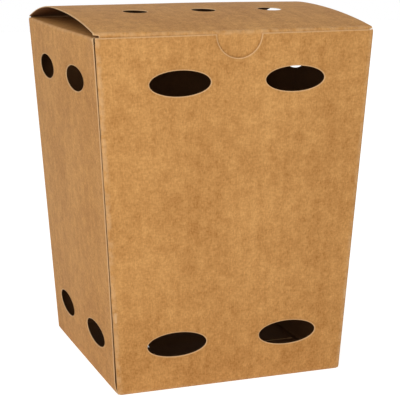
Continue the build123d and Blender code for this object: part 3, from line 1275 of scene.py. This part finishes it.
    def build(self, press: BoardPress) -> bpy.types.Object:
        """Fold the sleeve and press it into board.

        Args:
            press: what makes board from the sheet.

        Returns:
            The finished sleeve.
        """
        sheet = SheetMesh()
        for side in Side:
            self.add_wall(sheet, side)
            self.add_corner(sheet, side)
        self.add_glue_flap(sheet)
        made = press.press(sheet, "carton_board", CARTON_WAVES)
        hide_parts("carton")
        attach(made, "carton")
        return made


@dataclass
class Lid:
    """The arched lid with its rounded front fold and tuck flap."""

    sleeve: Sleeve

    # The arch, and how its two ends differ from its middle.
    side_gap: float = 0.5
    left_front_reach: float = 1.2
    crown_rise: float = 8.86
    crown_setback: float = 13.0
    right_end_drop: float = 1.0
    left_fold_lift: float = 1.1
    end_power: float = 1.6

    # The front fold. Its wear and painted highlight are full within fold_core of its middle.
    fold_rise: float = 1.1
    fold_radius: float = 1.5
    fold_core: float = 0.6
    shoulder_share: float = 0.74
    shoulder_step: float = 0.4

    # The tuck flap.
    tuck_clearance: float = 0.4
    swing_clearance: float = 0.5
    tuck_length: float = 16.0
    tuck_side_gap: float = 2.2
    tuck_slant: float = 2.3
    tuck_corner: float = 11.0

    vent_diameter: float = 13.0
    vent_edges: int = 72
    vent_pitch: float = 38.0
    vent_forward: float = 18.3

    # The crease strip: where the blend between the bodies starts and ends, back and up from the
    # hinge, and where the lid and the strip lie on the flat sheet.
    crease_radius: float = 0.6
    crease_run: float = 0.1
    crease_step: float = 0.13
    blend_start: Point = (0.15, -0.45)
    blend_end: Point = (-0.45, 0.2)
    sheet_row: float = 400.0
    crease_row: float = 398.0

    def __post_init__(self) -> None:
        """Work out the folded section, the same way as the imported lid's."""
        board, sleeve = self.sleeve.board, self.sleeve
        self.hinge = (sleeve.mouth[1] / 2 - board.half, sleeve.height + board.half)
        back_run = self.hinge[0] - self.crown_setback
        self.back_slope = 2 * math.atan(self.crown_rise / back_run)
        wall_inside = sleeve.mouth[1] / 2 - board.thickness
        fold_y = self.fold_radius + board.half + self.tuck_clearance - wall_inside
        drop = self.crown_rise - self.fold_rise
        level_run = self.crown_setback - fold_y
        front_run = level_run + self.fold_radius * math.sin(2 * math.atan(drop / level_run))
        fall = 2 * math.atan(drop / front_run)
        fold_z = self.hinge[1] + self.fold_rise - self.fold_radius * math.cos(fall)
        swing = self.hinge[0] + wall_inside - self.swing_clearance - board.half
        tip_depth = self.hinge[1] - fold_z + self.tuck_length
        tip_y = self.hinge[0] - math.sqrt(swing**2 - tip_depth**2)
        lean = math.asin((tip_y - fold_y + self.fold_radius) / self.tuck_length)
        turn = HALF_PI - fall + lean
        back = Bend(back_run / math.sin(self.back_slope) * self.back_slope, self.back_slope)
        front = Bend(front_run / math.sin(fall) * fall, fall)
        fold = Bend(self.fold_radius * turn, turn)
        bends = [back, front, fold, Bend(self.tuck_length)]
        self.section = Section(self.hinge, math.pi - self.back_slope, bends)
        self.fold_start = back.length + front.length
        self.tuck_start = self.fold_start + fold.length
        self.crown = back.length
        self.start = self.crease_radius * math.tan(self._crease_turn() / 2) + self.crease_run

    def _crease_turn(self) -> float:
        """How far the board turns at the closed crease."""
        lean = math.atan((self.sleeve.mouth[1] - self.sleeve.base[1]) / 2 / self.sleeve.height)
        return HALF_PI - self.back_slope + lean

    def place(self, x: np.ndarray, s: np.ndarray) -> np.ndarray:
        """Bend flat places into the lid.

        Args:
            x: places across the carton.
            s: distances from the crease along the lid.

        Returns:
            The points. The right end stands a little lower at the crown, and the front fold a
            little higher at the left.
        """
        y, z = self.section.at(s)
        half = self.sleeve.mouth[0] / 2
        right = np.clip(x / half, 0, 1) ** self.end_power
        left = np.clip(-x / half, 0, 1) ** self.end_power
        arch = np.sin(math.pi * np.clip(s / self.tuck_start, 0, 1))
        z = z - self.right_end_drop * right * arch
        z = z + self.left_fold_lift * left * smooth(self.crown, self.fold_start, s)
        return np.column_stack([x, y, z])

    def outline(self, levels: Sequence[float]) -> list[Point]:
        """The lid's flat outline, anticlockwise, with the distance from the crease running up.

        Args:
            levels: distances from the crease at which its sides get a point of their own.

        Returns:
            The outline's points.
        """
        half = self.sleeve.mouth[0] / 2 - self.side_gap
        root = self.sleeve.mouth[0] / 2 - self.tuck_side_gap
        shoulder = self.fold_start + self.shoulder_share * (self.tuck_start - self.fold_start)
        below = shoulder + self.shoulder_step
        tip, end = root - self.tuck_slant, self.section.length
        tuck = [(root, below), (tip, end), (-tip, end), (-root, below)]
        corners = [
            (-half, self.start),
            (half, self.start),
            (half, shoulder),
            *rounded(tuck, self.tuck_corner),
            (-half - self.left_front_reach, shoulder),
            (-half, self.start),
        ]
        return run(corners, self.sleeve.board.mesh_step, levels)

    def vents(self) -> list[list[Point]]:
        """The three vents, in a row that lies vent_forward in front of the carton's middle."""
        down = np.linspace(self.crown, self.fold_start, LOOKUP_STEPS)
        row = float(np.interp(self.vent_forward, -self.section.at(down)[0], down))
        radius = self.vent_diameter / 2
        centres = [(k * self.vent_pitch, row) for k in (-1, 0, 1)]
        return [ellipse(centre, radius, radius, self.vent_edges) for centre in centres]

    def build(self, press: BoardPress) -> bpy.types.Object:
        """Bend the lid and press it into board.

        Args:
            press: what makes board from the sheet.

        Returns:
            The finished lid.
        """
        step, fold_step = self.sleeve.board.mesh_step, self.sleeve.board.fold_step
        fold_rows = spaced(self.fold_start, self.tuck_start, fold_step)
        rows = np.concatenate(
            [
                spaced(self.start + fold_step, self.fold_start - 2 * fold_step, step),
                fold_rows,
                spaced(self.tuck_start + 2 * fold_step, self.section.length, step),
            ]
        )
        half = self.sleeve.mouth[0] / 2
        outline = self.outline(fold_rows)
        flat, faces = FlatSheet(outline, self.vents(), spaced(-half, half, step), rows).mesh()
        x, s = flat.T
        away = np.minimum(np.abs(s - (self.fold_start + self.tuck_start) / 2), s)
        bent = self.sleeve.board.fold_wear(np.clip(away - self.fold_core, 0, None))
        waving = self.sleeve.board.waving(self.fold_start, s)
        spread = np.column_stack([x, s + self.sheet_row])
        sheet = SheetMesh()
        sheet.add(self.place(x, s), faces[:, ::-1], spread, fold=bent, relief=waving)
        made = press.press(sheet, "lid_board", LID_WAVES)
        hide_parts("lid")
        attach(made, "lid")
        return made

    def build_crease(self, press: BoardPress) -> bpy.types.Object:
        """Make the strip of board that bends between the back wall and the lid.

        Args:
            press: what makes board from the sheet.

        Returns:
            The finished strip, which is attached to no body.
        """
        sleeve, turn = self.sleeve, self._crease_turn()
        low = sleeve.height - sleeve.crease_gap
        foot = (float(sleeve.half(Side.BACK, low)) - sleeve.board.half, low)
        tangent = self.crease_radius * math.tan(turn / 2)
        rise = math.hypot(self.hinge[0] - foot[0], self.hinge[1] - foot[1]) - tangent
        heading = math.pi - self.back_slope - turn
        bends = [Bend(rise), Bend(self.crease_radius * turn, turn), Bend(self.start - tangent)]
        line = Section(foot, heading, bends)
        along = spaced(0, line.length, self.crease_step)
        edge = sleeve.edge(Side.BACK, low)
        across = spaced(-edge, edge, sleeve.board.mesh_step)
        s, x = (grid.ravel() for grid in np.meshgrid(along, across, indexing="ij"))
        y, z = line.at(s)
        faces = grid_faces(len(along), len(across))[:, OTHER_WAY]
        sheet = SheetMesh()
        spread = np.column_stack([x, s + self.crease_row])
        points = np.column_stack([x, y, z])
        sheet.add(points, faces, spread, fold=np.ones(len(x)), relief=np.zeros(len(x)))
        made = press.press(sheet, "crease_strip", CREASE_WAVES)
        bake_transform(made)
        return made


@dataclass
class Studio:
    """The camera, a pale floor and soft plain light."""

    camera_place: tuple[float, float, float] = (-246.7, -687.9, 244.9)
    camera_target: tuple[float, float, float] = (4.8, 0.0, 85.7)
    lens: float = 120.0
    sensor: float = 36.0
    key_place: tuple[float, float, float] = (-570.0, -860.0, 475.0)
    key_size: float = 700.0
    key_power: float = 5.6
    world_level: float = 0.45
    floor_size: float = 4000.0
    floor_color: tuple[float, float, float, float] = (0.9, 0.9, 0.9, 1.0)
    floor_roughness: float = 0.9
    floor_glow: float = 0.7

    def aimed(self, name: str, data: object, place: Sequence[float]) -> bpy.types.Object:
        """Add a lamp or camera that looks at the carton."""
        made = bpy.data.objects.new(name, data)
        made.location = Vector(place) * MM
        toward = (Vector(self.camera_target) - Vector(place)).to_track_quat("-Z", "Y")
        made.rotation_euler = toward.to_euler()
        bpy.context.scene.collection.objects.link(made)
        return made

    def lamp(self, name: str, place: Sequence[float], size: float, power: float) -> None:
        """Add a soft square lamp."""
        data = bpy.data.lights.new(name, "AREA")
        data.size = size * MM
        data.energy = power
        self.aimed(name, data, place)

    @staticmethod
    def seen(nodes: Nodes) -> bpy.types.NodeSocket:
        """Return 1 for what the camera sees, also in a reflection or through glass, and else 0."""
        path = nodes.add("ShaderNodeLightPath").outputs
        seen = nodes.math("MAXIMUM", path["Is Camera Ray"], path["Is Glossy Ray"])
        return nodes.math("MAXIMUM", seen, path["Is Transmission Ray"])

    def floor(self) -> None:
        """Add the floor, white to the camera but for the carton's shadow."""
        half = self.floor_size / 2 * MM
        corners = [(-half, -half, 0), (half, -half, 0), (half, half, 0), (-half, half, 0)]
        mesh = bpy.data.meshes.new("floor")
        mesh.from_pydata(corners, [], [(0, 1, 2, 3)])
        made = bpy.data.objects.new("floor", mesh)
        bpy.context.scene.collection.objects.link(made)
        finish = bpy.data.materials.new("floor_white")
        finish.use_nodes = True
        nodes = Nodes(finish.node_tree)
        shader = finish.node_tree.nodes["Principled BSDF"]
        shader.inputs["Base Color"].default_value = self.floor_color
        shader.inputs["Roughness"].default_value = self.floor_roughness
        shader.inputs["Emission Color"].default_value = WHITE
        glow = nodes.math("MULTIPLY", self.seen(nodes), self.floor_glow)
        finish.node_tree.links.new(glow, shader.inputs["Emission Strength"])
        mesh.materials.append(finish)

    def world(self) -> None:
        """Add a soft even light that looks white to the camera."""
        world = bpy.data.worlds.new("studio")
        world.use_nodes = True
        nodes = Nodes(world.node_tree)
        shade = world.node_tree.nodes["Background"]
        seen = self.seen(nodes)
        rest = nodes.math("MULTIPLY", nodes.math("SUBTRACT", 1.0, seen), self.world_level)
        world.node_tree.links.new(nodes.math("ADD", seen, rest), shade.inputs["Strength"])
        shade.inputs["Color"].default_value = WHITE
        bpy.context.scene.world = world

    def build(self) -> None:
        """Set up the camera, the lamp, the floor and the world."""
        scene = bpy.context.scene
        camera = bpy.data.cameras.new("camera")
        camera.lens = self.lens
        camera.sensor_width = self.sensor
        scene.camera = self.aimed("camera", camera, self.camera_place)
        self.lamp("key", self.key_place, self.key_size, self.key_power)
        self.floor()
        self.world()
        scene.view_settings.view_transform = "Standard"


def main() -> None:
    """Build the carton and its studio."""
    logging.basicConfig(level=logging.INFO, format="%(name)s: %(message)s")
    press = BoardPress(Board())
    sleeve = Sleeve(press.board)
    sleeve.build(press)
    lid = Lid(sleeve)
    lid.build(press)
    lid.build_crease(press)
    Studio().build()


if __name__ == "__main__":
    main()
